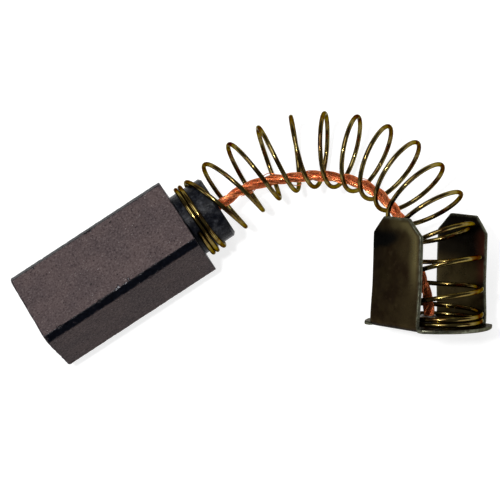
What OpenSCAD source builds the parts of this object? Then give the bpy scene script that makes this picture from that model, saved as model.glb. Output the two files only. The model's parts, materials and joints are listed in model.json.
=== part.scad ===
// Carbon brush with a helical spring, a copper lead and a folded end cap.
// Units: mm. +Z is up and Z = 0 is the surface the brush lies on.
// X runs along the carbon block, from its contact end to its rear face.
// Origin: on that surface, under the middle of the box that holds the brush.
// The brush lies as it comes to rest: on one long edge of the block and on
// the rim of the end cap, with the spring arching between them.

/* [Carbon block] */
// length of the block from contact end to rear face
block_len = 17; // [12:0.5:24]
// width of the block's broad face
block_w = 8; // [7.6:0.1:9.5]
// thickness of the block
block_t = 7.7; // [7.5:0.1:9]
// flat cut along the four long edges
edge_cut = 0.6; // [0.2:0.1:1]
// diameter of the round boss that carries the spring
boss_d = 6.44; // [5.4:0.02:7]
// length of the boss behind the rear face
boss_len = 3.5; // [3:0.1:4.2]
// bevel round the free end of the boss
boss_bevel = 0.25; // [0.1:0.05:0.4]

/* [Lead hole and plug] */
// thickness of the rammed powder round the lead
plug_wall = 0.65; // [0.3:0.05:0.9]
// depth of the blind hole from the end of the boss
hole_depth = 6.5; // [4:0.5:8]
// how far the powder plug stays below the end of the boss
plug_drop = 0.25; // [0.1:0.05:0.8]

/* [Spring] */
// diameter of the spring wire
wire_d = 0.44; // [0.34:0.01:0.54]
// space between the boss and the wire round it
boss_play = 0.07; // [0.04:0.01:0.1]
// distance from the rear face to the first closed turn
first_turn = 0.62; // [0.4:0.02:0.9]
// number of turns that stand apart
open_turns = 14.3; // [10:0.1:16]
// closed turns gripping the boss
boss_turns = 1.75; // [1:0.05:2.2]
// closed turns standing in the cap
cap_turns = 2.2; // [1:0.05:2.6]

/* [Copper lead] */
// diameter of the stranded lead
lead_d = 1.1; // [0.7:0.05:1.3]

/* [End cap] */
// thickness of the folded sheet
sheet_t = 0.36; // [0.25:0.01:0.5]
// space between the spring and each ear
ear_play = 0.37; // [0.36:0.01:0.8]
// width of each ear
ear_w = 6.5; // [5:0.1:7.5]
// height of the ears above the inside of the base
ear_h = 10; // [8:0.1:13]
// height where the ears start to narrow
shoulder_h = 8.4; // [6:0.1:8.6]
// width of the top edge of each ear
ear_top_w = 3.4; // [2:0.1:5]
// how far the base reaches past each side of an ear
lug = 0.7; // [0.3:0.1:1.2]
// rounding of the four corners at the top of each ear
corner_r = 0.3; // [0.1:0.05:0.5]
// inside radius of the two folds
fold_r = 0.25; // [0.15:0.05:0.5]
// width of the joint's rim round the lead
joint_lip = 0.55; // [0.3:0.05:0.65]

/* [Hidden] */
$fn = 64;
clear = 0.02;
hole_d = lead_d + 2 * plug_wall;
joint_r = lead_d / 2 + joint_lip;
// mean diameter of the coils, set by the boss they grip
coil_d = boss_d + wire_d + 2 * boss_play;
half_gap = (coil_d + wire_d) / 2 + ear_play;
half_out = half_gap + sheet_t;
corner_y = ear_w / 2 + lug;
// radius of the round sides of the cap's base
base_r = sqrt(half_out * half_out + corner_y * corner_y);
// how far the block is rolled on to its long edge
block_roll = 12.4;
// lean of the plane the spring is bent in, away from vertical
bend_lean = 12.6;
// height of the block's own axis above the surface
axis_h = (block_w / 2 - edge_cut) * sin(block_roll) + block_t / 2 * cos(block_roll);
// where the middle of the cap's base lies
cap_at_x = 14;
cap_at_y = -20.8;
// compass bearing, rise and spin of the cap
cap_bearing = 54.3;
cap_rise = 15.8;
cap_spin = -44;
// the spring stands round the joint, to one side of it, and inside the rim
joint_play = 0.19;
rim_play = 0.2;
seat_x = 0;
seat_y = -min((coil_d - wire_d) / 2 - joint_r - joint_play, base_r - (coil_d + wire_d) / 2 - rim_play);
seat_z = 1.2;
// how far above its seat the spring's axis is drawn towards the cap's own
cap_pull = 10.4;
// length of the boss over which the spring stays straight
straight = 1.6;
first_angle = 27;
first_count = -boss_turns + 0.03;
// steps in a turn of the wire, and sides of its section and of the lead's
steps = 22;
wire_sides = 10;
lead_sides = 12;
// powder under the end of the lead
plug_floor = 0.6;
// least space between the lead and the spring it leans on
lead_play = 0.2;
// height of the joint's rim, of the cone above it, and the cone's wall at its top
joint_rim_h = 0.25;
joint_cone_h = 0.45;
joint_top_wall = 0.12;

// ---------- directions and height of the cap ----------
cap_up = [cos(cap_rise) * cos(cap_bearing), cos(cap_rise) * sin(cap_bearing), sin(cap_rise)];
cap_a = [sin(cap_rise) * cos(cap_bearing), sin(cap_rise) * sin(cap_bearing), -cos(cap_rise)];
cap_b = [-sin(cap_bearing), cos(cap_bearing), 0];
cap_x = cos(cap_spin) * cap_a + sin(cap_spin) * cap_b;
cap_y = -sin(cap_spin) * cap_a + cos(cap_spin) * cap_b;
// the cap lies on the rim of its base: on the round side, or on the corner
// beside a fold where the lowest point of the full circle is cut away
cap_h = sheet_t * cap_up[2]
    + base_r * cos(cap_rise) * cos(max(0, atan2(corner_y, half_out) + cap_spin));
cap_pos = [cap_at_x, cap_at_y, cap_h];
function in_cap(x, y, z) = cap_pos + x * cap_x + y * cap_y + z * cap_up;
function unit(v) = v / norm(v);

// ---------- the bent axis of the spring ----------
// straight along the boss at first, then one smooth arch into the cap,
// which sags by a share of the free height under the closed turns
bend_drop = 1.97 * (axis_h - (coil_d + wire_d) / 2);
axis_pts = [
    [straight, 0, axis_h],
    [6.4, 0, axis_h],
    [12.9, 6.4, axis_h - bend_drop],
    [23.9, -5.7, axis_h + 0.7],
    in_cap(seat_x, seat_y, seat_z + cap_pull),
    in_cap(seat_x, seat_y, seat_z)
];
bin = [1, 5, 10, 10, 5, 1];
function along(u, i = 0) = i > 5 ? [0, 0, 0] :
    bin[i] * pow(u, i) * pow(1 - u, 5 - i) * axis_pts[i] + along(u, i + 1);
axis_n = 240;
axis_run = [for (i = [0:axis_n]) along(i / axis_n)];
function add_up(v, i = 1, acc = [straight]) = i >= len(v) ? acc :
    add_up(v, i + 1, concat(acc, [acc[i - 1] + norm(v[i] - v[i - 1])]));
axis_len = add_up(axis_run);
axis_key = [for (i = [0:axis_n]) [axis_len[i], i / axis_n]];
axis_end = axis_len[axis_n];
function axis_at(s) = s <= straight ? [s, 0, axis_h] :
    s >= axis_end ? axis_pts[5] - (s - axis_end) * cap_up :
    along(lookup(s, axis_key));
function axis_dir(s) = unit(axis_at(s + 0.05) - axis_at(s - 0.05));

// ---------- how the turns are spread along the axis ----------
closed_pitch = wire_d + clear;
spring_len = axis_end + seat_z - wire_d / 2 - first_turn;
count_a = first_count + boss_turns;
count_b = count_a + open_turns;
count_end = count_b + cap_turns;
open_pitch = (spring_len - closed_pitch * (boss_turns + cap_turns)) / open_turns;
ease = open_pitch - closed_pitch;
function stretch(n) = n <= count_a ? 0 :
    n <= count_a + 1 ? ease * pow(n - count_a, 2) / 2 :
    n <= count_b ? ease * (n - count_a - 0.5) :
    n <= count_b + 1 ? ease * (open_turns - 0.5 + (n - count_b) - pow(n - count_b, 2) / 2) :
    ease * open_turns;
function turn_at(n) = first_turn + closed_pitch * (n - first_count) + stretch(n);

lean_dir = [0, -sin(bend_lean), cos(bend_lean)];
function side_a(s) = unit(cross(lean_dir, axis_dir(s)));
function side_b(s) = cross(axis_dir(s), side_a(s));
function wire_mid(n) = let (s = turn_at(n), a = 360 * n + first_angle)
    axis_at(s) + coil_d / 2 * (cos(a) * side_a(s) + sin(a) * side_b(s));
function wire_out(n) = let (s = turn_at(n), a = 360 * n + first_angle)
    cos(a) * side_a(s) + sin(a) * side_b(s);

turn_count = round((count_end - first_count) * steps);
turn_list = [for (i = [0:turn_count]) first_count + (count_end - first_count) * i / turn_count];
wire_mids = [for (n = turn_list) wire_mid(n)];

// ---------- the box that holds the brush, centred over the origin ----------
ear_ends = [for (x = [-half_out, half_out], y = [-ear_top_w / 2, ear_top_w / 2]) in_cap(x, y, ear_h)];
high_x = max(max([for (p = ear_ends) p[0]]), max([for (p = wire_mids) p[0]]) + wire_d / 2);
high_y = max([for (p = wire_mids) p[1]]) + wire_d / 2;
low_y = cap_pos[1] - sheet_t * cap_up[1] - base_r * norm([cap_x[1], cap_y[1]]);
home = [(block_len - high_x) / 2, -(low_y + high_y) / 2, 0];

// ---------- a round bar swept along a list of points ----------
function bar_ring(p, t, r, d, sides) = let (w = unit(r - (r * t) * t), v = cross(t, w))
    [for (j = [0:sides - 1]) p + d / 2 * (cos(360 * j / sides) * w + sin(360 * j / sides) * v)];
module bar(mids, outs, d, sides) {
    n = len(mids);
    rings = [for (i = [0:n - 1]) bar_ring(
        mids[i],
        unit(mids[min(i + 1, n - 1)] - mids[max(i - 1, 0)]),
        outs[i], d, sides)];
    pts = [for (ring = rings) each ring];
    skin = [for (i = [0:n - 2], j = [0:sides - 1]) let (k = (j + 1) % sides)
        each [[i * sides + j, i * sides + k, (i + 1) * sides + k],
              [i * sides + j, (i + 1) * sides + k, (i + 1) * sides + j]]];
    first = [for (j = [0:sides - 1]) sides - 1 - j];
    last = [for (j = [0:sides - 1]) (n - 1) * sides + j];
    polyhedron(points = pts, faces = concat([first], skin, [last]), convexity = 12);
}

// ---------- carbon block with its boss, one pressed piece ----------
module section() {
    a = block_w / 2;
    b = block_t / 2;
    c = edge_cut;
    polygon([[a, -b + c], [a, b - c], [a - c, b], [-a + c, b],
             [-a, b - c], [-a, -b + c], [-a + c, -b], [a - c, -b]]);
}

module carbon_block() {
    color([0.2, 0.18, 0.18])
    translate(home + [0, 0, axis_h])
    rotate([-block_roll, 0, 0])
    difference() {
        union() {
            translate([-block_len, 0, 0])
                rotate([0, 90, 0])
                rotate([0, 0, 90])
                linear_extrude(height = block_len)
                section();
            rotate([0, 90, 0]) cylinder(d = boss_d, h = boss_len - boss_bevel);
            translate([boss_len - boss_bevel, 0, 0])
                rotate([0, 90, 0])
                cylinder(d1 = boss_d, d2 = boss_d - 2 * boss_bevel, h = boss_bevel);
        }
        translate([boss_len - hole_depth, 0, 0])
            rotate([0, 90, 0])
            cylinder(d = hole_d, h = hole_depth + 1);
    }
}

// ---------- rammed powder that holds the lead in the boss ----------
plug_len = hole_depth - plug_drop;
module powder_plug() {
    color([0.35, 0.22, 0.15])
    translate(home + [boss_len - hole_depth, 0, axis_h])
    rotate([0, 90, 0])
    difference() {
        cylinder(d = hole_d, h = plug_len);
        translate([0, 0, plug_floor]) cylinder(d = lead_d, h = plug_len);
    }
}

// ---------- spring ----------
module coil_spring() {
    color([0.55, 0.47, 0.3])
    translate(home)
    bar(wire_mids, [for (n = turn_list) wire_out(n)], wire_d, wire_sides);
}

// ---------- copper lead ----------
// It leaves the boss on its axis, leans on the inner side of the bent spring
// and ends on the middle of the cap's base.
lead_from = boss_len - hole_depth + plug_floor;
// how far it can lean before it meets the wire
lean_max = (coil_d - wire_d - lead_d) / 2 - lead_play;
// distance along the spring's axis, then the share of that lean
lead_lean = [
    [6.5, 0.3], [9, 0.6], [11.5, 0.85], [14, 0.95], [17, 1], [20, 1],
    [23, 1], [26, 1], [29, 1], [32, 0.95], [34.5, 0.85]
];
lead_way = concat(
    [[boss_len, 0, axis_h]],
    [for (p = lead_lean) axis_at(p[0]) - lean_max * p[1] * side_a(p[0])],
    [in_cap(-0.5, -0.1, 2.8), in_cap(0, 0, 1.5), in_cap(0, 0, 0.75), in_cap(0, 0, 0)]
);
lead_n = len(lead_way);
function way(i) = i < 0 ? [boss_len - 2.5, 0, axis_h] :
    i >= lead_n ? in_cap(0, 0, -0.75) : lead_way[i];
function smooth(i, t) = let (a = way(i - 1), b = way(i), c = way(i + 1), d = way(i + 2))
    0.5 * (2 * b + (c - a) * t + (2 * a - 5 * b + 4 * c - d) * t * t
    + (3 * b - a - 3 * c + d) * t * t * t);
lead_mids = concat(
    [for (k = [0:2]) [lead_from + (boss_len - lead_from) * k / 3, 0, axis_h]],
    [for (i = [0:lead_n - 2], k = [0:3]) smooth(i, k / 4)],
    [in_cap(0, 0, 0)]
);
module copper_lead() {
    color([0.72, 0.4, 0.24])
    translate(home)
    bar(lead_mids, [for (p = lead_mids) lean_dir], lead_d, lead_sides);
}

// ---------- joint between lead and cap ----------
module lead_joint() {
    color([0.6, 0.6, 0.58])
    translate(home + cap_pos)
    rotate([0, 90 - cap_rise, cap_bearing])
    rotate([0, 0, cap_spin])
    difference() {
        union() {
            cylinder(r = joint_r, h = joint_rim_h);
            translate([0, 0, joint_rim_h])
                cylinder(r1 = joint_r, r2 = lead_d / 2 + joint_top_wall, h = joint_cone_h);
        }
        translate([0, 0, -1]) cylinder(d = lead_d, h = 3);
    }
}

// ---------- end cap: one sheet, base and two ears ----------
// points of the arc that rounds corner b between a and c
arc_n = 5;
function arc_at(a, b, c) = let (
    u = unit(a - b),
    v = unit(c - b),
    half = acos(u * v) / 2,
    mid = b + corner_r / sin(half) * unit(u + v),
    p = b + corner_r / tan(half) * u - mid,
    sweep = (2 * half - 180) * sign(cross(u, v)))
    [for (k = [0:arc_n]) let (t = sweep * k / arc_n)
        mid + [p[0] * cos(t) - p[1] * sin(t), p[0] * sin(t) + p[1] * cos(t)]];
ear_line = [[ear_w / 2, fold_r], [ear_w / 2, shoulder_h], [ear_top_w / 2, ear_h],
            [-ear_top_w / 2, ear_h], [-ear_w / 2, shoulder_h], [-ear_w / 2, fold_r]];
module ear_plate() {
    polygon(concat(
        [ear_line[0]],
        [for (i = [1:4]) each arc_at(ear_line[i - 1], ear_line[i], ear_line[i + 1])],
        [ear_line[5]]));
}

module ear() {
    translate([half_gap, 0, 0])
        rotate([90, 0, 90])
        linear_extrude(height = sheet_t)
        ear_plate();
    translate([half_gap - fold_r, 0, fold_r])
    intersection() {
        difference() {
            rotate([90, 0, 0]) cylinder(r = fold_r + sheet_t, h = ear_w, center = true);
            rotate([90, 0, 0]) cylinder(r = fold_r, h = ear_w + 1, center = true);
        }
        translate([0, -ear_w, -2]) cube([2, 2 * ear_w, 2]);
    }
}

module end_cap() {
    color([0.3, 0.26, 0.17])
    translate(home + cap_pos)
    rotate([0, 90 - cap_rise, cap_bearing])
    rotate([0, 0, cap_spin]) {
        intersection() {
            translate([0, 0, -sheet_t]) cylinder(r = base_r, h = sheet_t, $fn = 96);
            union() {
                translate([-half_gap + fold_r, -base_r, -1])
                    cube([2 * (half_gap - fold_r), 2 * base_r, 2]);
                translate([-half_out, ear_w / 2, -1])
                    cube([2 * half_out, base_r, 2]);
                translate([-half_out, -ear_w / 2 - base_r, -1])
                    cube([2 * half_out, base_r, 2]);
            }
        }
        ear();
        mirror([1, 0, 0]) ear();
    }
}

carbon_block();
powder_plug();
coil_spring();
copper_lead();
lead_joint();
end_cap();
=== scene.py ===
import json
import math
import bpy
import numpy as np
from mathutils import Matrix, Vector, noise


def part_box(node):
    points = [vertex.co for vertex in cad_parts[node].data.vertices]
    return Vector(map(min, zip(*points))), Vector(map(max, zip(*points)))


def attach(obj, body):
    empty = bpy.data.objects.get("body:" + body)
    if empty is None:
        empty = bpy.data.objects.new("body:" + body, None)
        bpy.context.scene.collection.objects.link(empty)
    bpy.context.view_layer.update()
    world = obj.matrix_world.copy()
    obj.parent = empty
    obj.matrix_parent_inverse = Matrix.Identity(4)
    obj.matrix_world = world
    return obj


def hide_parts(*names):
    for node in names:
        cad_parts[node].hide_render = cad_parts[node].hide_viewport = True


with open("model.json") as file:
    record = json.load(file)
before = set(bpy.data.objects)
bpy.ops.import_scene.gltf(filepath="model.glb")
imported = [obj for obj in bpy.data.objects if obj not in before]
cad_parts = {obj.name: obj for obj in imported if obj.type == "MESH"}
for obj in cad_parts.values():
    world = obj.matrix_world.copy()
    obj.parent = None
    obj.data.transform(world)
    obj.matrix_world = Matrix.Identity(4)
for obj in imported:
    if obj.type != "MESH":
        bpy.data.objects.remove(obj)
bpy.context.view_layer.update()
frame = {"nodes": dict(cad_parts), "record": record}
RANDOM = np.random.default_rng(7)

# Sizes in mm and angles, as in the part's source. The shapes are worked out in mm, from
# the foot of the block's rear face, and HOME brings them into the frame.
MM = 0.001
BLOCK_LEN, BLOCK_W, BLOCK_T, EDGE_CUT = 17.0, 8.0, 7.7, 0.6
BOSS_D, BOSS_LEN, BOSS_BEVEL = 6.44, 3.5, 0.25
HOLE_D, HOLE_DEPTH, PLUG_FLOOR = 2.4, 6.5, 0.6
WIRE_D, BOSS_PLAY, FIRST_TURN, TURN_GAP = 0.44, 0.07, 0.62, 0.02
OPEN_TURNS, BOSS_TURNS, CAP_TURNS = 14.3, 1.75, 2.2
LEAD_D, LEAD_PLAY = 1.1, 0.2
SHEET_T, EAR_PLAY, EAR_W, EAR_H, SHOULDER_H = 0.36, 0.37, 6.5, 10.0, 8.4
EAR_TOP_W, LUG, FOLD_R, CORNER_R = 3.4, 0.7, 0.25, 0.3
ROLL, LEAN = math.radians(12.4), math.radians(12.6)
FIRST_ANGLE = math.radians(27)
STRAIGHT, SEAT_Y, SEAT_Z, CAP_PULL = 1.6, -2.0, 1.2, 10.4
CAP_SPIN = math.radians(-44)

COIL_D = BOSS_D + WIRE_D + 2 * BOSS_PLAY
HALF_GAP = (COIL_D + WIRE_D) / 2 + EAR_PLAY
HALF_OUT = HALF_GAP + SHEET_T
BASE_R = math.hypot(HALF_OUT, EAR_W / 2 + LUG)


def unit(v):
    return v / np.linalg.norm(v, axis=-1, keepdims=True)


# Where the block and the cap lie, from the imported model
block_low, block_high = (np.array(c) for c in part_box("carbon_block"))
HOME = np.array([block_low[0] + BLOCK_LEN * MM, (block_low[1] + block_high[1]) / 2,
                 block_low[2]])
AXIS_H = (block_high[2] + block_low[2]) / 2 / MM
SEAT = next(m for m in frame["record"]["mounts"] if m["name"] == "cap_seat")
CAP_UP = -unit(np.array(SEAT["axis"]))
CAP_POS = (np.array(SEAT["pos_m"]) - HOME) / MM + SHEET_T * CAP_UP
RISE, BEARING = math.asin(CAP_UP[2]), math.atan2(CAP_UP[1], CAP_UP[0])
DOWN_SIDE = np.array([math.sin(RISE) * math.cos(BEARING),
                      math.sin(RISE) * math.sin(BEARING), -math.cos(RISE)])
LEVEL_SIDE = np.array([-math.sin(BEARING), math.cos(BEARING), 0.0])
CAP_X = math.cos(CAP_SPIN) * DOWN_SIDE + math.sin(CAP_SPIN) * LEVEL_SIDE
CAP_Y = -math.sin(CAP_SPIN) * DOWN_SIDE + math.cos(CAP_SPIN) * LEVEL_SIDE
LEAN_DIR = np.array([0.0, -math.sin(LEAN), math.cos(LEAN)])


def in_cap(x, y, z):
    return CAP_POS + x * CAP_X + y * CAP_Y + z * CAP_UP


# ---------------------------------------------------------------- camera
VIEW_Z = Vector((0.0, -0.219, 0.976)).normalized()
VIEW_X = Vector((0.547, 0.817, 0.183)).cross(VIEW_Z).normalized()
VIEW_Y = VIEW_Z.cross(VIEW_X)
LOOK_AT = Vector(HOME + np.array([3.75, -5.10, AXIS_H - 1.14]) * MM)
DISTANCE = 0.21154
SENSOR, LENS = 36.0, 158.4
CLIP_NEAR, CLIP_FAR = 0.005, 20.0


def toward(right, up, near):
    """A direction given along the camera's right, up and back."""
    return (VIEW_X * right + VIEW_Y * up + VIEW_Z * near).normalized()


def make_camera():
    data = bpy.data.cameras.new("camera")
    data.sensor_width = SENSOR
    data.lens = LENS
    data.clip_start = CLIP_NEAR
    data.clip_end = CLIP_FAR
    camera = bpy.data.objects.new("camera", data)
    bpy.context.scene.collection.objects.link(camera)
    turn = Matrix((VIEW_X, VIEW_Y, VIEW_Z)).transposed().to_4x4()
    camera.matrix_world = Matrix.Translation(LOOK_AT + VIEW_Z * DISTANCE) @ turn
    bpy.context.scene.camera = camera


# ---------------------------------------------------------------- meshes
def add_mesh(name, verts, faces, sharp=None, masks=None):
    """A mesh object from points in mm. masks are named values, one per point."""
    mesh = bpy.data.meshes.new(name)
    mesh.from_pydata((np.asarray(verts) * MM + HOME).tolist(), [], faces)
    for key, values in (masks or {}).items():
        data = mesh.attributes.new(key, "FLOAT", "POINT").data
        data.foreach_set("value", np.asarray(values, np.float32))
    mesh.update()
    mesh.shade_smooth()
    if sharp:
        mesh.set_sharp_from_angle(angle=math.radians(sharp))
    piece = bpy.data.objects.new(name, mesh)
    bpy.context.scene.collection.objects.link(piece)
    return piece


def ring_faces(rings, sides):
    """Quads between closed rings of points, and a face over each end."""
    faces = [(i * sides + j, i * sides + (j + 1) % sides,
              (i + 1) * sides + (j + 1) % sides, (i + 1) * sides + j)
             for i in range(rings - 1) for j in range(sides)]
    last = (rings - 1) * sides
    return faces + [tuple(range(sides))[::-1], tuple(last + j for j in range(sides))]


def tube(path, ref, radius, sides):
    """Points and faces of a round bar along path. ref is a direction to start each ring from."""
    along = unit(np.gradient(path, axis=0))
    side = unit(ref - (ref * along).sum(1)[:, None] * along)
    over = np.cross(along, side)
    turn = 2 * np.pi * np.arange(sides) / sides
    ring = (np.cos(turn)[None, :, None] * side[:, None]
            + np.sin(turn)[None, :, None] * over[:, None])
    radius = np.broadcast_to(radius, (len(path),))[:, None, None]
    return (path[:, None] + radius * ring).reshape(-1, 3), ring_faces(len(path), sides)


def joined(parts):
    """Several (points, faces) as one."""
    points, faces, count = [], [], 0
    for verts, quads in parts:
        points.append(verts)
        faces += [tuple(i + count for i in face) for face in quads]
        count += len(verts)
    return np.concatenate(points), faces


def field(points, scale, seed=0.0, octaves=3):
    """Smooth noise between about -1 and 1 at each point, with features of that scale in mm."""
    shift = Vector((seed, seed * 1.7, -seed))
    return np.array([noise.fractal(Vector(p) / scale + shift, 1.0, 2.0, octaves)
                     for p in points])


def smoothstep(low, high, x):
    t = np.clip((x - low) / (high - low), 0, 1)
    return t * t * (3 - 2 * t)


FINE_STEPS = (0.0, 0.03, 0.07, 0.12, 0.19, 0.28)


def graded(length, step, fine=FINE_STEPS):
    """Distances from 0 up to length, close together near both ends."""
    fine = [f for f in fine if f < length / 2]
    count = max(2, round((length - 2 * fine[-1]) / step) + 1)
    middle = np.linspace(fine[-1], length - fine[-1], count)
    return np.concatenate([fine[:-1], middle, [length - f for f in fine[-2::-1]]])


# ---------------------------------------------------------------- carbon block
# The mask "skin" is 0 on ground faces, BEVEL_SKIN on the pressed bevels and the rear face, and
# BOSS_SKIN on the boss.
# The wear mask is 1 where an edge is cut back, and up to 2 at a top-edge spot of painted glints.
BEVEL_SKIN, BOSS_SKIN = 0.7, 1.0
SKIN_FADE, SKIN_RAGGED = 0.3, 0.12
FADE_FROM, FADE_TO = BLOCK_W / 2 - 0.16, BLOCK_W / 2 + 0.04
OUTLINE_STEP, LENGTH_STEP = 0.16, 0.12
CONTACT_SHARES = (0.02, 0.1, 0.22, 0.36, 0.5, 0.63, 0.74, 0.82, 0.88, 0.92, 0.95, 0.975, 0.99)
REAR_SHARES = (0.02, 0.05, 0.1, 0.18, 0.3, 0.45, 0.6, 0.75, 0.9, 1.0)
TOP_EDGE = 2
TOP_WEAR, EDGE_WEAR, CORNER_WEAR, CONTACT_WEAR, REAR_WEAR = 1.0, 0.8, 5.0, 3.4, 1.2
LEAST_WEAR, WORN_BLEND = 0.008, 0.03
GLINT_SPOT_X, GLINT_SPOT_SPREAD = -8.1, 0.9
BOSS_UNEVEN = 0.0035


def block_outline():
    """Points round the block's section, 1 for each that is on a bevel, and the corners."""
    a, b, c = BLOCK_W / 2, BLOCK_T / 2, EDGE_CUT
    corners = np.array([(a, -b + c), (a, b - c), (a - c, b), (-a + c, b),
                        (-a, b - c), (-a, -b + c), (-a + c, -b), (a - c, -b)])
    points, on_bevel = [], []
    for i in range(8):
        start, end = corners[i], corners[(i + 1) % 8]
        length = np.linalg.norm(end - start)
        for d in graded(length, OUTLINE_STEP)[:-1]:
            points.append(start + (end - start) * d / length)
            on_bevel.append(i % 2)
    return np.array(points), np.array(on_bevel), corners


def wear_planes(corners):
    """The block's edges: the direction out of each, its height along that, its wear, and
    whether it has the spot of painted glints."""
    sides = []
    for i in range(8):
        d = unit(corners[(i + 1) % 8] - corners[i])
        sides.append((np.array([0, d[1], -d[0]]), np.array([0, *corners[i]])))
    planes = []
    for i in range(8):
        out, foot = sides[i]
        next_out, next_foot = sides[(i + 1) % 8]
        n = unit(out + next_out)
        planes.append((n, n @ next_foot, TOP_WEAR if i == TOP_EDGE else EDGE_WEAR,
                       i == TOP_EDGE))
        tip = unit(n + np.array([-1.0, 0, 0]))
        planes.append((tip, tip @ (next_foot + np.array([-BLOCK_LEN, 0, 0])),
                       CORNER_WEAR, False))
        for x, facing, wear in ((-BLOCK_LEN, -1.0, CONTACT_WEAR), (0.0, 1.0, REAR_WEAR)):
            n = unit(out + np.array([facing, 0, 0]))
            planes.append((n, n @ (foot + np.array([x, 0, 0])), wear, False))
    return planes


def block_rings():
    """The block's rings of points, from the middle of its contact face to the bore's floor,
    with each point's skin."""
    outline, on_bevel, corners = block_outline()
    count = len(outline)
    angle = np.unwrap(np.arctan2(outline[:, 1], outline[:, 0]))
    even = angle[0] + 2 * np.pi * np.arange(count) / count
    rings, skin = [], []

    def add(x, yz, value):
        rings.append(np.column_stack([np.full(count, x), yz]))
        skin.append(np.broadcast_to(value, (count,)))

    for share in CONTACT_SHARES:
        add(-BLOCK_LEN, outline * share, 0.0)
    side = np.abs(outline[:, 0])
    for d in graded(BLOCK_LEN, LENGTH_STEP):
        places = np.column_stack([np.full(count, d), outline])
        ragged = SKIN_RAGGED * field(places, 0.4, 31.0, 2)
        fade = smoothstep(FADE_FROM, FADE_TO, side + ragged)
        add(d - BLOCK_LEN, outline, on_bevel * (BEVEL_SKIN - SKIN_FADE * fade))
    rim = BOSS_D / 2
    for share in REAR_SHARES:
        turn = angle + (even - angle) * share
        circle = rim * np.column_stack([np.cos(turn), np.sin(turn)])
        add(0.0, outline + (circle - outline) * share, BEVEL_SKIN)
    circle = np.column_stack([np.cos(even), np.sin(even)])
    for x in np.linspace(0, BOSS_LEN - BOSS_BEVEL, 24)[1:]:
        add(x, rim * circle, BOSS_SKIN)
    for k in (0.35, 0.7, 1.0):
        add(BOSS_LEN - BOSS_BEVEL * (1 - k), (rim - BOSS_BEVEL * k) * circle, BOSS_SKIN)
    for radius in np.linspace(rim - BOSS_BEVEL, HOLE_D / 2, 9)[1:]:
        add(BOSS_LEN, radius * circle, BOSS_SKIN)
    for x in np.linspace(BOSS_LEN, BOSS_LEN - HOLE_DEPTH, 12)[1:]:
        add(x, HOLE_D / 2 * circle, BOSS_SKIN)
    return np.concatenate(rings), np.concatenate(skin), len(rings), count, corners


def carbon_block():
    points, skin, rings, count, corners = block_rings()

    # worn and chipped edges: each edge is cut back by a depth that changes along it
    wear_and_glint = np.zeros(len(points))
    coarse, fine = field(points, 1.5, 3.0), field(points, 0.32, 9.0)
    chips = smoothstep(0.32, 0.62, field(points, 0.7, 21.0, 2))
    outside = points[:, 0] <= 0.0
    for n, height, wear, has_glint_spot in wear_planes(corners):
        depth = wear * (0.03 + 0.015 * coarse + 0.03 * fine + 0.13 * chips * (0.6 + fine))
        over = (points @ n - (height - np.maximum(depth, LEAST_WEAR))) * outside
        over = np.maximum(over, 0)
        # the top edge's spot of painted glints lifts the wear mask up to 2 there; the shape is not
        # changed
        glint_spot = 0.0
        if has_glint_spot:
            glint_spot = np.exp(-((points[:, 0] - GLINT_SPOT_X) / GLINT_SPOT_SPREAD) ** 2)
        wear_and_glint = np.maximum(wear_and_glint, smoothstep(0.0, WORN_BLEND, over) * (1 + glint_spot))
        points = points - over[:, None] * n
    # the boss keeps its slightly uneven pressed skin
    boss = (points[:, 0] > 0.05) & (np.hypot(points[:, 1], points[:, 2]) > HOLE_D / 2 + 0.1)
    points[boss, 1:] *= (1 + BOSS_UNEVEN * field(points[boss], 0.8, 5.0)[:, None])

    c, s = math.cos(ROLL), math.sin(ROLL)
    y, z = points[:, 1].copy(), points[:, 2].copy()
    points[:, 1], points[:, 2] = c * y + s * z, -s * y + c * z + AXIS_H
    points[:, 2] = np.maximum(points[:, 2], 0.0)
    return add_mesh("worn_block", points, ring_faces(rings, count), 32,
                    {"skin": skin, "wear_and_glint": wear_and_glint})


# ---------------------------------------------------------------- bent axis and spring
CURVE = np.array([
    [STRAIGHT, 0, AXIS_H],
    [6.4, 0, AXIS_H],
    [12.9, 6.4, AXIS_H - 1.97 * (AXIS_H - (COIL_D + WIRE_D) / 2)],
    [23.9, -5.7, AXIS_H + 0.7],
    in_cap(0, SEAT_Y, SEAT_Z + CAP_PULL),
    in_cap(0, SEAT_Y, SEAT_Z)])
EARLY_START = 0.05
WIRE_STEPS, WIRE_SIDES, CUT_END = 1024, 16, 0.86


def bezier(u):
    u = np.atleast_1d(u)[:, None]
    return sum(math.comb(5, i) * u ** i * (1 - u) ** (5 - i) * CURVE[i] for i in range(6))


AXIS_U = np.linspace(0, 1, 1201)
AXIS_S = STRAIGHT + np.r_[0, np.cumsum(np.linalg.norm(np.diff(bezier(AXIS_U), axis=0), axis=1))]
AXIS_END = AXIS_S[-1]


def axis_at(s):
    """Points of the axis, from the distance along it. It is straight past both ends."""
    s = np.atleast_1d(np.asarray(s, float))
    out = bezier(np.interp(s, AXIS_S, AXIS_U))
    low, high = s <= STRAIGHT, s >= AXIS_END
    out[low] = np.column_stack([s[low], 0 * s[low], 0 * s[low] + AXIS_H])
    out[high] = CURVE[5] - (s[high] - AXIS_END)[:, None] * CAP_UP
    return out


def axis_sides(s):
    """Two directions across the axis: in the plane it bends in, and out of that plane."""
    along = unit(axis_at(s + 0.05) - axis_at(s - 0.05))
    inward = unit(np.cross(LEAN_DIR, along))
    return inward, np.cross(along, inward)


CLOSED_PITCH = WIRE_D + TURN_GAP
FIRST_COUNT = 0.03 - BOSS_TURNS
COUNT_A = FIRST_COUNT + BOSS_TURNS
COUNT_B = COUNT_A + OPEN_TURNS
COUNT_END = COUNT_B + CAP_TURNS
SPRING_LEN = AXIS_END + SEAT_Z - WIRE_D / 2 - FIRST_TURN
EASE = (SPRING_LEN - CLOSED_PITCH * (BOSS_TURNS + CAP_TURNS)) / OPEN_TURNS - CLOSED_PITCH


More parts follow.
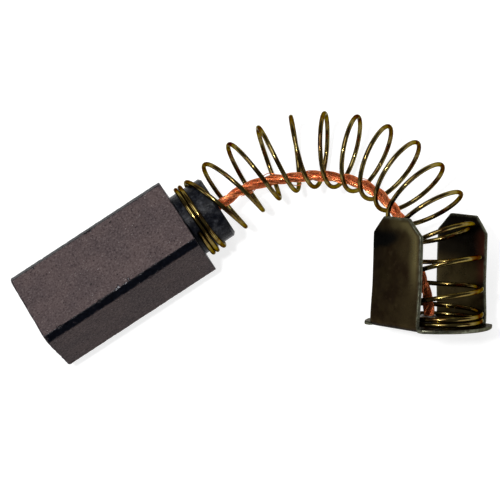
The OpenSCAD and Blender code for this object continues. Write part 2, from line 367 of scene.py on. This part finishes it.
def turn_at(n):
    """How far along the axis turn number n lies."""
    a, b = np.clip(n - COUNT_A, 0, 1), np.clip(n - COUNT_B, 0, 1)
    middle = np.clip(n - COUNT_A - 1, 0, OPEN_TURNS - 1)
    opened = a * a / 2 + middle + b - b * b / 2
    return FIRST_TURN + CLOSED_PITCH * (n - FIRST_COUNT) + EASE * opened


def coil_spring():
    n = np.linspace(FIRST_COUNT - EARLY_START, COUNT_END, WIRE_STEPS)
    s = turn_at(n)
    inward, over = axis_sides(s)
    turn = (2 * np.pi * n + FIRST_ANGLE)[:, None]
    out = np.cos(turn) * inward + np.sin(turn) * over
    radius = np.full(len(n), WIRE_D / 2)
    radius[[0, -1]] *= CUT_END
    verts, faces = tube(axis_at(s) + COIL_D / 2 * out, out, radius, WIRE_SIDES)
    return add_mesh("spring", verts, faces, 50)


# ---------------------------------------------------------------- copper rope
LEAN_MAX = (COIL_D - WIRE_D - LEAD_D) / 2 - LEAD_PLAY
# distance along the axis, and the share of LEAN_MAX that the lead lies off it
LEAD_LEAN = [(6.5, 0.3), (9, 0.6), (11.5, 0.85), (14, 0.95), (17, 1), (20, 1),
             (23, 1), (26, 1), (29, 1), (32, 0.95), (34.5, 0.85)]
ROPE_STEPS, ROPE_END, ROPE_PITCH = 200, 0.02, 5.7
BUNDLES, BUNDLE_MIDDLE, BUNDLE_PITCH = 3, 0.285, 12.0
STRANDS, STRAND_R, STRAND_SIDES = 19, 0.043, 5
# a bundle's strands lie in two layers: how many, how far from its middle, and the angle
# from one to the next
INNER_STRANDS, INNER_REACH, INNER_STEP = 5, 0.1, 1.257
OUTER_REACH, OUTER_STEP = 0.208, 0.449
# loose ends: the distance along the lead, and the angle round it
WISPS = [(9.2, 2.1), (11.4, -1.2), (13.8, 1.4), (17.5, 2.6), (21.5, -0.8), (26.0, 1.9)]
WISP_R, WISP_HALF, WISP_LIFT = 0.04, 0.9, 0.3


def lead_route():
    """The lead's own points, as the part's source has them."""
    way = [np.array([BOSS_LEN - 2.5, 0, AXIS_H]), np.array([BOSS_LEN, 0, AXIS_H])]
    for s, share in LEAD_LEAN:
        inward, _ = axis_sides(np.array([s]))
        way.append(axis_at(s)[0] - LEAN_MAX * share * inward[0])
    way += [in_cap(-0.5, -0.1, 2.8), in_cap(0, 0, 1.5), in_cap(0, 0, 0.75),
            in_cap(0, 0, 0), in_cap(0, 0, -0.75)]
    start = BOSS_LEN - HOLE_DEPTH + PLUG_FLOOR
    route = [np.array([x, 0, AXIS_H]) for x in np.linspace(start, BOSS_LEN, 13)[:-1]]
    for a, b, c, d in zip(way, way[1:], way[2:], way[3:]):
        for t in np.arange(8) / 8:
            route.append(0.5 * (2 * b + (c - a) * t + (2 * a - 5 * b + 4 * c - d) * t ** 2
                                + (3 * b - a - 3 * c + d) * t ** 3))
    return np.array(route + [way[-2]])


ROUTE = lead_route()
ROUTE_S = np.r_[0, np.cumsum(np.linalg.norm(np.diff(ROUTE, axis=0), axis=1))]
LEAD_LEN = ROUTE_S[-1]


def wander(s, spacing, amount):
    """A smooth random offset along the rope."""
    knots = np.arange(-1, int(LEAD_LEN / spacing) + 3)
    values = RANDOM.normal(0, amount, len(knots))
    t = s / spacing
    k = np.clip(np.floor(t).astype(int) + 1, 0, len(knots) - 2)
    f = t - np.floor(t)
    f = f * f * (3 - 2 * f)
    return values[k] * (1 - f) + values[k + 1] * f


def copper_rope():
    """Three bundles twisted into a rope, each of fine strands, with a few loose ends."""
    s = np.linspace(ROPE_END, LEAD_LEN - ROPE_END, ROPE_STEPS)
    path = np.column_stack([np.interp(s, ROUTE_S, ROUTE[:, k]) for k in range(3)])
    along = unit(np.gradient(path, axis=0))
    right = unit(LEAN_DIR - (along @ LEAN_DIR)[:, None] * along)
    above = np.cross(along, right)
    parts, tone = [], []

    def strand(x, y, radius, part=slice(None)):
        places = path + x[:, None] * right + y[:, None] * above
        tone.append(np.full(STRAND_SIDES * len(places[part]), RANDOM.random()))
        parts.append(tube(places[part], right[part], radius, STRAND_SIDES))

    for at, turn in WISPS:
        part = slice(*np.searchsorted(s, (at - WISP_HALF, at + WISP_HALF)))
        lift = np.zeros(len(s))
        lift[part] = np.sin(np.linspace(0, 2.2, part.stop - part.start)) ** 2 * WISP_LIFT
        turn = turn + 0.5 * (s - at)
        reach = LEAD_D / 2 - WISP_R + lift
        strand(reach * np.cos(turn), reach * np.sin(turn), WISP_R, part)
    for b in range(BUNDLES):
        turn = 2 * np.pi * (b / BUNDLES + s / ROPE_PITCH) + wander(s, 1.9, 0.16)
        middle = BUNDLE_MIDDLE + wander(s, 1.5, 0.02)
        for k in range(STRANDS):
            inside = k < INNER_STRANDS
            reach = INNER_REACH if inside else OUTER_REACH
            first = k * (INNER_STEP if inside else OUTER_STEP)
            inner = first + turn - 2 * np.pi * s / BUNDLE_PITCH + wander(s, 1.3, 0.12)
            reach = reach + wander(s, 0.9, 0.012)
            x = middle * np.cos(turn) + reach * np.cos(inner)
            y = middle * np.sin(turn) + reach * np.sin(inner)
            fit = np.minimum(1.0, (LEAD_D / 2 - 0.045) / np.hypot(x, y))
            strand(x * fit, y * fit, STRAND_R)
    return add_mesh("copper_rope", *joined(parts), masks={"tone": np.concatenate(tone)})


# ---------------------------------------------------------------- end cap
EAR_BOW, BOW_POWER, DENT = 0.17, 3.4, 0.022
INNER_ROLL, OUTER_ROLL = 0.05, 0.15
FAR_FROM_RIM = 9.0
FOLD_STEPS = 8


def rounded_side():
    """An ear's half-width and height along its side and top, with rounded corners."""
    line = [(EAR_W / 2, 0.0), (EAR_W / 2, SHOULDER_H), (EAR_TOP_W / 2, EAR_H), (0.0, EAR_H)]
    out = []
    for a, b, c in zip(line, line[1:], line[2:]):
        a, b, c = np.array(a), np.array(b), np.array(c)
        u, v = unit(a - b), unit(c - b)
        half = math.acos(u @ v) / 2
        middle = b + CORNER_R / math.sin(half) * unit(u + v)
        p = b + CORNER_R / math.tan(half) * u - middle
        q = b + CORNER_R / math.tan(half) * v - middle
        for t in np.linspace(0, 1, 6):
            out.append(middle + CORNER_R * unit(p * (1 - t) + q * t))
    return np.array(out)


class Sheet:
    """A folded sheet, kept as points on its middle surface with a normal and a rim distance."""

    def __init__(self):
        self.keys, self.mid, self.up, self.rim, self.quads = {}, [], [], [], []

    def point(self, p, n, rim):
        key = tuple(np.round(np.asarray(p) * 1e4).astype(int))
        if key not in self.keys:
            self.keys[key] = len(self.mid)
            self.mid.append(p)
            self.up.append(n)
            self.rim.append(rim)
        i = self.keys[key]
        self.rim[i] = min(self.rim[i], rim)
        return i

    def patch(self, rows):
        """rows of (point, normal, rim distance), all of one length."""
        ids = [[self.point(*cell) for cell in row] for row in rows]
        for low, high in zip(ids, ids[1:]):
            for j in range(len(low) - 1):
                quad = [low[j], low[j + 1], high[j + 1], high[j]]
                if len(set(quad)) > 2:
                    a, b, c = (np.array(self.mid[quad[k]]) for k in (0, 1, 2))
                    if np.cross(b - a, c - b) @ self.up[quad[1]] < 0:
                        quad.reverse()
                    self.quads.append(quad)


def add_base(sheet, bend_x, rows_y):
    """The cap's base: a middle strip and two round sides that reach past the bends."""
    up = np.array([0.0, 0.0, 1.0])
    middle_z = -SHEET_T / 2
    inner_x = graded(2 * bend_x, 0.3, (0.0, 0.1)) - bend_x
    sheet.patch([[(np.array([x, y, middle_z]), up, FAR_FROM_RIM) for y in rows_y]
                 for x in inner_x])
    lug_x = bend_x + graded(HALF_OUT - bend_x, 0.1, (0.0, 0.03, 0.08, 0.14))
    all_x = np.concatenate([-lug_x[:0:-1], inner_x, lug_x[1:]])
    for side in (1, -1):
        rows = []
        for x in all_x:
            reach = math.sqrt(BASE_R ** 2 - x * x)
            row = []
            for share in graded(1, 0.12, (0.0, 0.02, 0.05, 0.1)):
                y = EAR_W / 2 + (reach - EAR_W / 2) * share
                rim = min(BASE_R - math.hypot(x, y), HALF_OUT - abs(x))
                if abs(x) > bend_x + 1e-6:
                    rim = min(rim, y - EAR_W / 2)
                row.append((np.array([x, side * y, middle_z]), up, rim))
            rows.append(row)
        sheet.patch(rows)


def add_ears(sheet, bend_x, rows_y):
    """The two bends and the ears that stand on them."""
    profile = rounded_side()
    straight = SHOULDER_H - CORNER_R - FOLD_R
    heights = np.unique(np.concatenate([
        FOLD_R + graded(straight, 0.3, (0.0, 0.15)), profile[:, 1],
        np.linspace(SHOULDER_H + CORNER_R, EAR_H - CORNER_R, 7),
        EAR_H - np.array([0.0, 0.03, 0.07, 0.12])]))
    shares = rows_y / (EAR_W / 2)
    radius = FOLD_R + SHEET_T / 2
    for side in (1, -1):
        rows = []
        for turn in np.linspace(0, math.pi / 2, FOLD_STEPS):
            n = np.array([-side * math.sin(turn), 0, math.cos(turn)])
            p = np.array([side * (bend_x + radius * math.sin(turn)), 0,
                          FOLD_R - radius * math.cos(turn)])
            rows.append([(p + np.array([0, y, 0]), n,
                          EAR_W / 2 - abs(y) if turn > 0 else FAR_FROM_RIM) for y in rows_y])
        n = np.array([-side, 0, 0])
        for z in heights[1:]:
            width = np.interp(z, profile[:, 1], profile[:, 0])
            rows.append([(np.array([side * (HALF_GAP + SHEET_T / 2), width * e, z]), n,
                          min(width * (1 - abs(e)), EAR_H - z)) for e in shares])
        sheet.patch(rows)


def rim_and_painted_reflection_masks(mid, rim):
    """Masks on both of the sheet's surfaces: its bare rim, painted highlights and painted dark
    reflections on the ears, a lighter ear top, and a reddish tint.
    """
    count = len(mid)
    x, y, z = mid.T
    outer_left = np.r_[np.zeros(count), np.where((x < 0) & (z > 0.3), 1.0, 0.0)]
    inner_right = np.r_[np.where((x > 0) & (z > 0.3), 1.0, 0.0), np.zeros(count)]
    y, z, side = (np.tile(v, 2) for v in (y, z, np.minimum(rim, 3.0)))
    uneven = 0.35 * np.tile(field(mid, 1.6, 12.0, 2), 2)
    # painted highlight: a lighter band along the outer ear's side edge, standing in for light on
    # its rolled edge
    highlight_band = (smoothstep(1.6, 0.6, side + uneven) * smoothstep(0.15, 0.5, side)
            * smoothstep(0.8, -1.2, y))
    # the middle of the outer ear's top is made lighter
    top = 0.55 * smoothstep(8.6, 9.6, z + uneven) * smoothstep(1.4, 0.2, abs(y + 0.2))
    light = outer_left * np.maximum(highlight_band * smoothstep(2.2, 6.5, z), top)
    # painted reflection: a lighter zone low on the inner face of the other ear
    light += (inner_right * 0.2 * smoothstep(6.0, 4.0, z + uneven)
              * smoothstep(-3.0, -1.8, y))
    # painted dark reflections: a dark patch high on the outer ear, and the upper part of the other
    # ear's inner face
    edge = 6.6 + 0.35 * (2.5 - y)
    dark_reflection = (outer_left * smoothstep(edge, edge + 0.5, z + uneven)
            * smoothstep(-1.2, 0.4, y) * smoothstep(9.3, 8.2, z))
    dark_reflection += inner_right * 0.8 * smoothstep(5.2, 6.6, z + uneven)
    # reddish towards one side edge of the inner face of one ear
    warm = (inner_right * smoothstep(-1.7, -3.0, y + uneven) * smoothstep(1.5, 6.0, z)
            * smoothstep(9.2, 8.0, z))
    return {"rim": np.tile(smoothstep(0.22, 0.0, rim), 2),
            "light": light, "dark_reflection": dark_reflection, "warm": warm}


def end_cap():
    """The folded sheet with rolled edges, its ears slightly bowed and dented."""
    sheet = Sheet()
    bend_x = HALF_GAP - FOLD_R
    rows_y = EAR_W / 2 * (graded(2, 0.09, (0.0, 0.008, 0.022, 0.045, 0.08)) - 1)
    add_base(sheet, bend_x, rows_y)
    add_ears(sheet, bend_x, rows_y)
    mid, up = np.array(sheet.mid), np.array(sheet.up)
    rim = np.maximum(np.array(sheet.rim), 0)
    high = smoothstep(0.5, 4.0, mid[:, 2])
    bow = EAR_BOW * (np.abs(mid[:, 1]) / (EAR_W / 2)) ** BOW_POWER * high
    dent = DENT * field(mid, 3.2, 4.0, 2) * (0.3 + high)
    mid = mid + up * (bow + dent)[:, None]

    def rolled(radius):
        t = np.clip(1 - rim / radius, 0, 1)
        return radius * (1 - np.sqrt(1 - t * t))

    inner = mid + up * (SHEET_T / 2 - rolled(INNER_ROLL))[:, None]
    outer = mid - up * (SHEET_T / 2 - rolled(OUTER_ROLL))[:, None]
    count = len(mid)
    edges = {}
    for a, b, c, d in sheet.quads:
        for e in ((a, b), (b, c), (c, d), (d, a)):
            edges[e] = True
    faces = [tuple(q) for q in sheet.quads]
    faces += [tuple(i + count for i in reversed(q)) for q in sheet.quads]
    faces += [(b, a, a + count, b + count) for a, b in edges if (b, a) not in edges]
    local = np.concatenate([inner, outer])
    points = CAP_POS + local[:, :1] * CAP_X + local[:, 1:2] * CAP_Y + local[:, 2:] * CAP_UP
    points[:, 2] = np.maximum(points[:, 2], 0.0)
    return add_mesh("folded_cap", points, faces, 40, rim_and_painted_reflection_masks(mid, rim))


# ---------------------------------------------------------------- nodes
def plug(tree, value, socket):
    """Links a socket, or sets a color or a number on it."""
    if isinstance(value, bpy.types.NodeSocket):
        tree.links.new(value, socket)
    elif isinstance(value, tuple):
        socket.default_value = (*value, 1.0)
    else:
        socket.default_value = value


def math_node(tree, kind, a, b):
    node = tree.nodes.new("ShaderNodeMath")
    node.operation = kind
    plug(tree, a, node.inputs[0])
    plug(tree, b, node.inputs[1])
    return node.outputs[0]


def map_range(tree, value, low, high, out_low, out_high):
    node = tree.nodes.new("ShaderNodeMapRange")
    node.interpolation_type = "SMOOTHSTEP"
    names = ("From Min", "From Max", "To Min", "To Max")
    for name, number in zip(names, (low, high, out_low, out_high)):
        node.inputs[name].default_value = number
    tree.links.new(value, node.inputs["Value"])
    return node.outputs[0]


def background_ray(tree):
    """1 for rays that see the backdrop directly, in a reflection or through glass."""
    path = tree.nodes.new("ShaderNodeLightPath")
    seen = path.outputs["Is Camera Ray"]
    for name in ("Is Glossy Ray", "Is Transmission Ray"):
        seen = math_node(tree, "MAXIMUM", seen, path.outputs[name])
    return seen


class Look:
    """A node material that is built up step by step."""

    def __init__(self, name, metallic, roughness):
        self.material = bpy.data.materials.new(name)
        self.material.use_nodes = True
        self.tree = self.material.node_tree
        self.tree.nodes.clear()
        self.shader = self.tree.nodes.new("ShaderNodeBsdfPrincipled")
        out = self.tree.nodes.new("ShaderNodeOutputMaterial")
        self.tree.links.new(self.shader.outputs[0], out.inputs[0])
        self.place = self.tree.nodes.new("ShaderNodeTexCoord").outputs["Object"]
        self.set("Metallic", metallic)
        self.set("Roughness", roughness)

    def set(self, name, value):
        plug(self.tree, value, self.shader.inputs[name])

    def noise(self, size, detail=3.0, rough=0.6):
        """Noise between 0 and 1 with features of that size in mm."""
        node = self.tree.nodes.new("ShaderNodeTexNoise")
        self.tree.links.new(self.place, node.inputs["Vector"])
        node.inputs["Scale"].default_value = 1 / (size * MM)
        node.inputs["Detail"].default_value = detail
        node.inputs["Roughness"].default_value = rough
        return node.outputs[0]

    def mask(self, name):
        node = self.tree.nodes.new("ShaderNodeAttribute")
        node.attribute_name = name
        return node.outputs["Fac"]

    def fit(self, value, low, high, out_low=0.0, out_high=1.0):
        return map_range(self.tree, value, low, high, out_low, out_high)

    def math(self, kind, a, b):
        return math_node(self.tree, kind, a, b)

    def mix(self, share, a, b):
        node = self.tree.nodes.new("ShaderNodeMix")
        node.data_type = "RGBA"
        for value, socket in zip((share, a, b), (node.inputs[i] for i in (0, 6, 7))):
            plug(self.tree, value, socket)
        return node.outputs[2]

    def bump(self, height, depth, strength, normal=None):
        """A bump of that depth in mm, over another one if normal is given."""
        node = self.tree.nodes.new("ShaderNodeBump")
        node.inputs["Strength"].default_value = strength
        node.inputs["Distance"].default_value = depth * MM
        self.tree.links.new(height, node.inputs["Height"])
        if normal is not None:
            self.tree.links.new(normal, node.inputs["Normal"])
        return node.outputs[0]


# ---------------------------------------------------------------- materials
GROUND_DARK, GROUND_LIGHT = (0.067, 0.05, 0.051), (0.085, 0.062, 0.061)
GRAIN_LIGHT, GRAIN_DARK = (0.136, 0.107, 0.105), (0.028, 0.02, 0.023)
# The bright fleck colour is painted glints: flecks of graphite drawn as if catching the light.
PIT, PAINTED_GLINT = (0.012, 0.01, 0.011), (0.42, 0.4, 0.4)
PRESSED_DARK, PRESSED_LIGHT = (0.0006, 0.0008, 0.002), (0.005, 0.006, 0.01)
# The boss's grey patch colour is painted sheen, standing in for glossy highlights on its pressed
# skin.
PAINTED_BOSS_SHEEN = (0.05, 0.052, 0.06)
# The bright chip colour is painted glints on chipped edges; the dark chip colour is the worn edge's
# own colour.
CHIP_DARK, CHIP_GLINT = (0.014, 0.011, 0.013), (0.5, 0.51, 0.55)
CARBON_SPECULAR = 0.06
BRASS_DARK, BRASS_LIGHT = (0.11, 0.072, 0.022), (0.2, 0.155, 0.052)
TARNISH, BRASS_EDGE = (0.075, 0.032, 0.012), (0.3, 0.27, 0.13)
COPPER_DARK, COPPER_LIGHT = (0.78, 0.21, 0.075), (0.97, 0.33, 0.13)
COPPER_DULL, COPPER_EDGE = (0.36, 0.08, 0.025), (0.8, 0.5, 0.35)
SHEET_DARK, SHEET_LIGHT = (0.016, 0.009, 0.004), (0.034, 0.024, 0.01)
SHEET_SPOT, SHEET_EDGE = (0.05, 0.036, 0.018), (0.25, 0.22, 0.14)
# Colours laid over the cap's ears by mask: a painted highlight, also used to lighten the outer
# ear's top, a painted dark reflection, and a reddish tint.
LIGHTER_AND_PAINTED_HIGHLIGHT, PAINTED_DARK_REFLECTION, REDDISH_TINT = (0.1, 0.082, 0.034), (0.003, 0.003, 0.003), (0.045, 0.012, 0.005)
BARE_RIM = (0.12, 0.125, 0.09)
JOINT_DARK, JOINT_LIGHT = (0.2, 0.19, 0.17), (0.38, 0.37, 0.34)
POWDER_DARK, POWDER_LIGHT = (0.05, 0.035, 0.03), (0.32, 0.15, 0.08)


def carbon_look():
    look = Look("carbon", 0.0, 0.55)
    skin, wear_and_glint = look.mask("skin"), look.mask("wear_and_glint")
    cloud, grain, fine = look.noise(2.6, 4), look.noise(0.18, 4, 0.7), look.noise(0.06, 2)
    pits = look.fit(look.noise(0.3, 2, 0.5), 0.31, 0.25)
    # painted glints: bright flecks scattered over the ground faces
    glint_spots = look.fit(look.noise(0.13, 1, 0.5), 0.76, 0.8)
    ground = look.mix(look.fit(cloud, 0.35, 0.65), GROUND_DARK, GROUND_LIGHT)
    ground = look.mix(look.fit(grain, 0.5, 0.68, 0.0, 0.85), ground, GRAIN_LIGHT)
    ground = look.mix(look.fit(grain, 0.47, 0.35, 0.0, 0.85), ground, GRAIN_DARK)
    ground = look.mix(pits, ground, PIT)
    ground = look.mix(glint_spots, ground, PAINTED_GLINT)
    pressed = look.mix(look.fit(grain, 0.4, 0.7), PRESSED_DARK, PRESSED_LIGHT)
    # painted sheen: lighter grey patches on the boss, in place of its glossy highlights
    painted_sheen = look.math("MULTIPLY", look.fit(skin, 0.75, BOSS_SKIN),
                      look.fit(look.noise(1.3, 6, 0.75), 0.44, 0.78))
    pressed = look.mix(painted_sheen, pressed, PAINTED_BOSS_SHEEN)
    covered = look.fit(skin, 0.2, 0.6)
    color = look.mix(covered, ground, pressed)
    # painted glints: on worn edges, bright specks where the fine noise runs high, more at the top
    # edge's glint spot, and the dark worn colour elsewhere
    glint_level = look.math("ADD", fine, look.fit(wear_and_glint, 1.0, 2.0, 0.0, 0.14))
    chip_and_glint = look.mix(look.fit(glint_level, 0.64, 0.7), CHIP_DARK, CHIP_GLINT)
    covering = look.math("MULTIPLY", wear_and_glint, look.fit(grain, 0.4, 0.55, 0.35, 1.0))
    color = look.mix(look.fit(covering, 0.0, 1.0), color, chip_and_glint)
    look.set("Base Color", color)
    ground_rough = look.fit(grain, 0.3, 0.7, 0.66, 0.54)
    pressed_rough = look.fit(grain, 0.4, 0.62, 0.34, 0.22)
    look.set("Roughness", look.mix(covered, ground_rough, pressed_rough))
    look.set("Specular IOR Level", CARBON_SPECULAR)
    rough = look.math("ADD", look.math("MULTIPLY", grain, 0.6),
                      look.math("MULTIPLY", pits, -0.8))
    rough = look.bump(rough, 0.03, 0.55)
    lumps = look.math("MULTIPLY", look.noise(0.4, 3, 0.65), covered)
    look.set("Normal", look.bump(fine, 0.012, 0.6, look.bump(lumps, 0.07, 0.65, rough)))
    return look.material


def wire_look():
    look = Look("spring_wire", 1.0, 0.25)
    color = look.mix(look.fit(look.noise(2.2, 3), 0.35, 0.65), BRASS_DARK, BRASS_LIGHT)
    color = look.mix(look.fit(look.noise(1.3, 2), 0.5, 0.66, 0.0, 0.8), color, TARNISH)
    look.set("Base Color", color)
    look.set("Specular Tint", BRASS_EDGE)
    look.set("Roughness", look.fit(look.noise(1.2, 3), 0.3, 0.7, 0.12, 0.2))
    return look.material


def copper_look():
    look = Look("copper", 0.82, 0.3)
    color = look.mix(look.fit(look.noise(0.9, 3), 0.35, 0.65), COPPER_DARK, COPPER_LIGHT)
    color = look.mix(look.fit(look.mask("tone"), 0.45, 0.0, 0.0, 0.85), color, COPPER_DULL)
    look.set("Base Color", color)
    look.set("Specular Tint", COPPER_EDGE)
    look.set("Roughness", look.fit(look.noise(0.3, 2), 0.3, 0.7, 0.18, 0.34))
    return look.material


def cap_look():
    look = Look("cap_sheet", 0.85, 0.35)
    color = look.mix(look.fit(look.noise(2.6, 4), 0.35, 0.65), SHEET_DARK, SHEET_LIGHT)
    color = look.mix(look.fit(look.noise(0.5, 3), 0.55, 0.75, 0.0, 0.5), color, SHEET_SPOT)
    # painted highlight and painted dark reflections on the ears, and a reddish tint
    for name, mask_color in (("light", LIGHTER_AND_PAINTED_HIGHLIGHT), ("dark_reflection", PAINTED_DARK_REFLECTION), ("warm", REDDISH_TINT)):
        color = look.mix(look.mask(name), color, mask_color)
    rim = look.math("MULTIPLY", look.mask("rim"),
                    look.fit(look.noise(0.4, 3), 0.35, 0.6, 0.35, 1.0))
    color = look.mix(rim, color, BARE_RIM)
    look.set("Base Color", color)
    look.set("Specular Tint", SHEET_EDGE)
    look.set("Roughness", look.fit(look.noise(1.1, 3), 0.3, 0.7, 0.26, 0.42))
    look.set("Normal", look.bump(look.noise(0.14, 3), 0.004, 0.5))
    return look.material


def joint_look():
    look = Look("joint_metal", 0.9, 0.4)
    stain = look.fit(look.noise(0.7, 4), 0.35, 0.65)
    look.set("Base Color", look.mix(stain, JOINT_DARK, JOINT_LIGHT))
    look.set("Roughness", look.fit(look.noise(0.3, 3), 0.3, 0.7, 0.3, 0.5))
    look.set("Normal", look.bump(look.noise(0.5, 3), 0.05, 0.6))
    return look.material


def powder_look():
    look = Look("powder", 0.6, 0.6)
    grain = look.noise(0.12, 3, 0.7)
    look.set("Base Color", look.mix(look.fit(grain, 0.42, 0.62), POWDER_DARK, POWDER_LIGHT))
    look.set("Normal", look.bump(grain, 0.05, 0.6))
    return look.material


# ---------------------------------------------------------------- floor and light
FLOOR_COLOR, FLOOR_GLOW, FLOOR_HALF = (0.35, 0.35, 0.35), 0.8, 3.0
# In reflections the world is white only in a low band, and dim above it, as in a dark room.
BAND_FROM, BAND_TO, DIM = 0.02, 0.16, 0.1
LAMP_DISTANCE = 0.5
# name, direction from the camera's side, size in m, power in W
LAMPS = [("softbox", (-0.2, 0.52, 0.83), 0.3, 1.1),
         ("small_lamp", (-0.25, 0.1, 0.96), 0.045, 1.5),
         ("low_left", (-0.93, -0.11, 0.35), 0.25, 0.3),
         ("fill", (0.75, -0.55, 0.35), 0.3, 0.42)]


def make_floor():
    look = Look("floor", 0.0, 0.9)
    look.set("Base Color", FLOOR_COLOR)
    look.set("Specular IOR Level", 0.0)
    look.set("Emission Color", (1.0, 1.0, 1.0))
    look.set("Emission Strength", look.math("MULTIPLY", background_ray(look.tree), FLOOR_GLOW))
    half = FLOOR_HALF / MM
    floor = add_mesh("floor", [(-half, -half, 0), (half, -half, 0), (half, half, 0),
                               (-half, half, 0)], [(0, 1, 2, 3)])
    floor.data.materials.append(look.material)


def make_world():
    world = bpy.data.worlds.new("world")
    bpy.context.scene.world = world
    world.use_nodes = True
    tree = world.node_tree
    background = tree.nodes["Background"]
    background.inputs["Color"].default_value = (1, 1, 1, 1)
    direction = tree.nodes.new("ShaderNodeTexCoord").outputs["Generated"]
    split = tree.nodes.new("ShaderNodeSeparateXYZ")
    tree.links.new(direction, split.inputs[0])
    low = map_range(tree, split.outputs["Z"], BAND_FROM, BAND_TO, 1.0, 0.0)
    camera_ray = tree.nodes.new("ShaderNodeLightPath").outputs["Is Camera Ray"]
    strength = math_node(tree, "MULTIPLY", background_ray(tree), low)
    strength = math_node(tree, "MAXIMUM", strength, camera_ray)
    strength = math_node(tree, "MAXIMUM", strength, DIM)
    tree.links.new(strength, background.inputs["Strength"])


def make_lamp(name, direction, size, power):
    data = bpy.data.lights.new(name, "AREA")
    data.shape = "DISK"
    data.size = size
    data.energy = power
    light = bpy.data.objects.new(name, data)
    bpy.context.scene.collection.objects.link(light)
    turn = direction.to_track_quat("Z", "Y").to_matrix().to_4x4()
    light.matrix_world = Matrix.Translation(LOOK_AT + direction * LAMP_DISTANCE) @ turn


# ---------------------------------------------------------------- the brush
def place(piece, node, look):
    piece.data.materials.append(look)
    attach(piece, "root")
    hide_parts(node)


make_camera()
place(carbon_block(), "carbon_block", carbon_look())
place(coil_spring(), "coil_spring", wire_look())
place(copper_rope(), "copper_lead", copper_look())
place(end_cap(), "end_cap", cap_look())
for name, look in (("powder_plug", powder_look()), ("lead_joint", joint_look())):
    for slot in frame["nodes"][name].material_slots:
        slot.material = look
make_floor()
make_world()
for name, direction, size, power in LAMPS:
    make_lamp(name, toward(*direction), size, power)
bpy.context.scene.view_settings.view_transform = "Standard"
